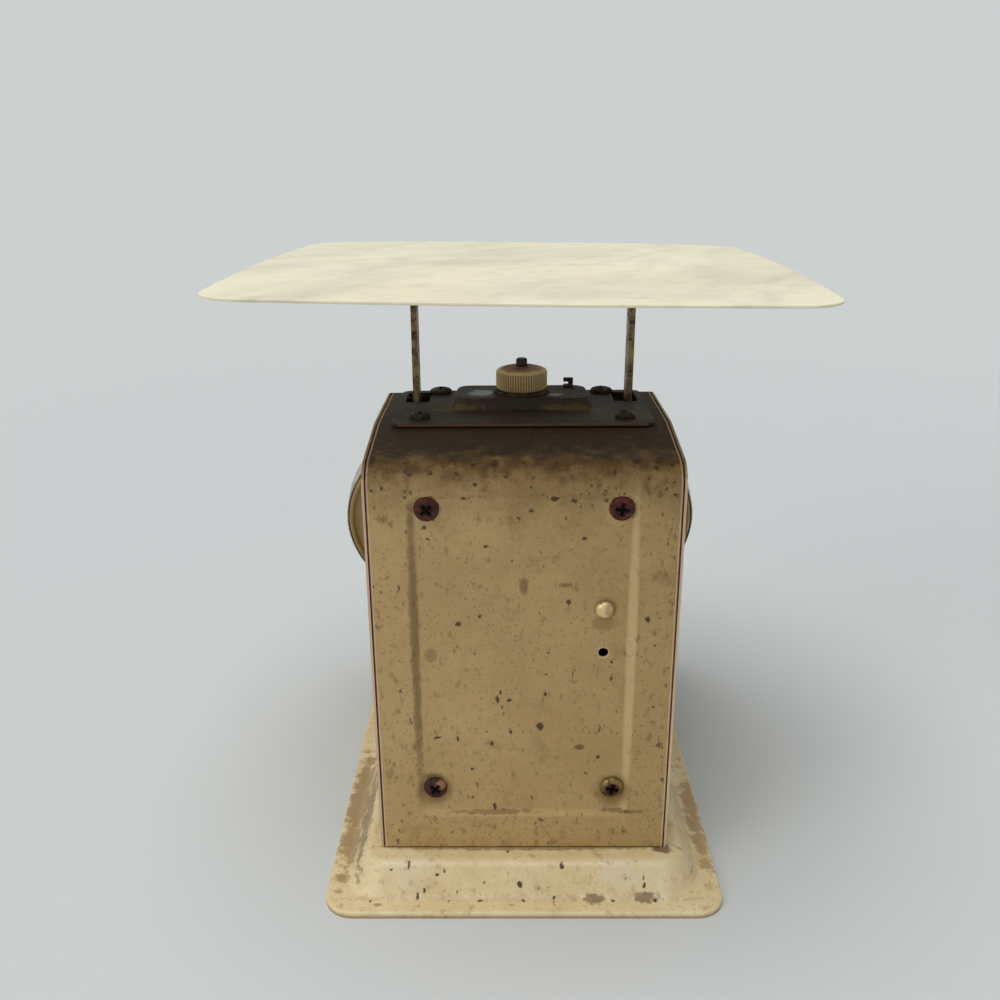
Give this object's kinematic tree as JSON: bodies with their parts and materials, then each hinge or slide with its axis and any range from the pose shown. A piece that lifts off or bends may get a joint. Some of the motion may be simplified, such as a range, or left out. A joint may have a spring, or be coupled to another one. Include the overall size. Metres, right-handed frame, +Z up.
{
  "type": "dial scale",
  "caption": "Household spring scale with a flat square platform, a folded steel housing on a stamped base and a round sloping dial.",
  "frame": {"origin": "on the ground, under the middle of the whole scale's box", "axes": "+Z up, the dial faces -Y, the rear cover faces +Y, +X is on the right as one faces the dial"},
  "size_m": [0.209, 0.2546, 0.2424],
  "materials": {
    "cream_paint": "old cream enamel with rust spots and dirt",
    "base_paint": "old cream enamel, lighter, with pits and brown dirt in the fold",
    "grimy_paint": "paint under thick brown grime",
    "pan_paint": "dull olive-tan enamel",
    "bezel_metal": "dull plating",
    "platform_metal": "ivory enamel with grey scuffs",
    "strap_steel": "bare steel, browned",
    "plated_steel": "dull zinc plating",
    "dark_steel": "oiled dark steel",
    "rusted_screws": "rusted",
    "grimy_screws": "browned with grime",
    "brass": "worn satin",
    "aged_ivory": "aged ivory, stained on top",
    "printed_dial": "satin white with black print",
    "black_paint": "satin black",
    "clear_lens": "clear"
  },
  "bodies": {
    "housing": {"base_pan": "base_paint", "base_screws": "plated_steel", "base_nuts": "plated_steel", "front_shell": "cream_paint", "rear_cover": "cream_paint", "rear_cover_screws": "rusted_screws", "brass_stud": "brass", "roof_cap": "grimy_paint", "roof_cap_screws": "grimy_screws", "roof_cap_nuts": "plated_steel", "stop_tab": "grimy_screws", "left_rail": "plated_steel", "right_rail": "plated_steel", "pivot_rods": "plated_steel", "bearing_plate": "plated_steel", "arbor_bush": "brass", "bearing_bridge": "brass", "rack_guide": "plated_steel", "dial_pan": "pan_paint", "dial_screws": "plated_steel", "dial_face": "printed_dial", "dial_spacer": "pan_paint", "bezel": "bezel_metal", "lens": "clear_lens", "knob_washer": "grimy_screws"},
    "carriage": {"platform": "platform_metal", "left_strap": "strap_steel", "right_strap": "strap_steel", "carriage_bar": "plated_steel", "carriage_rivets": "plated_steel", "link_pins": "plated_steel", "drive_arm": "plated_steel", "drive_pin": "brass"},
    "upper_link": {"upper_check_link": "strap_steel"},
    "lower_link": {"lower_check_link": "strap_steel"},
    "knob": {"zero_knob": "aged_ivory"},
    "hanger": {"spindle": "dark_steel", "main_spring": "dark_steel"},
    "rack_bar": {"rack": "brass"},
    "indicator": {"pinion": "brass", "pointer_arbor": "plated_steel", "pointer": "black_paint", "pointer_hub": "brass"}
  },
  "joints": [
    {"name": "platform_slide", "type": "slide", "parent": "housing", "child": "carriage", "axis": [0, 0, 1], "range_m": [-0.0156, 0], "stiffness_N_per_m": 6850, "springref_m": 0.0008, "deforming": ["main_spring"]},
    {"name": "rack_slide", "type": "slide", "parent": "housing", "child": "rack_bar", "axis": [0, 0.506, 0.8625], "range_m": [-0.0182, 0.0001]},
    {"name": "pointer_spin", "type": "hinge", "parent": "housing", "child": "indicator", "pos_m": [0, -0.05465, 0.09702], "axis": [0, -0.8625, 0.506], "range_deg": [-346, 1]},
    {"name": "upper_link_swing", "type": "hinge", "parent": "housing", "child": "upper_link", "pos_m": [0, 0.07536, 0.1551], "axis": [1, 0, 0], "range_deg": [0, 13.33]},
    {"name": "lower_link_swing", "type": "hinge", "parent": "housing", "child": "lower_link", "pos_m": [0, 0.07536, 0.0503], "axis": [1, 0, 0], "range_deg": [0, 13.33]},
    {"name": "knob_turn", "type": "hinge", "parent": "housing", "child": "knob", "pos_m": [0, 0.01886, 0.19], "axis": [0, 0, 1], "range_deg": [-360, 360]},
    {"name": "hanger_lift", "type": "slide", "parent": "housing", "child": "hanger", "axis": [0, 0, 1], "range_m": [-0.0008, 0.0008]}
  ],
  "couplings": [
    {"joint": "rack_slide", "follows": "platform_slide", "ratio": 1.1594},
    {"joint": "pointer_spin", "follows": "platform_slide", "rad_per_m": 386.47},
    {"joint": "upper_link_swing", "follows": "platform_slide", "rad_per_m": -14.9},
    {"joint": "lower_link_swing", "follows": "platform_slide", "rad_per_m": -14.9},
    {"joint": "knob_turn", "follows": "hanger_lift", "rad_per_m": -7853.9}
  ]
}
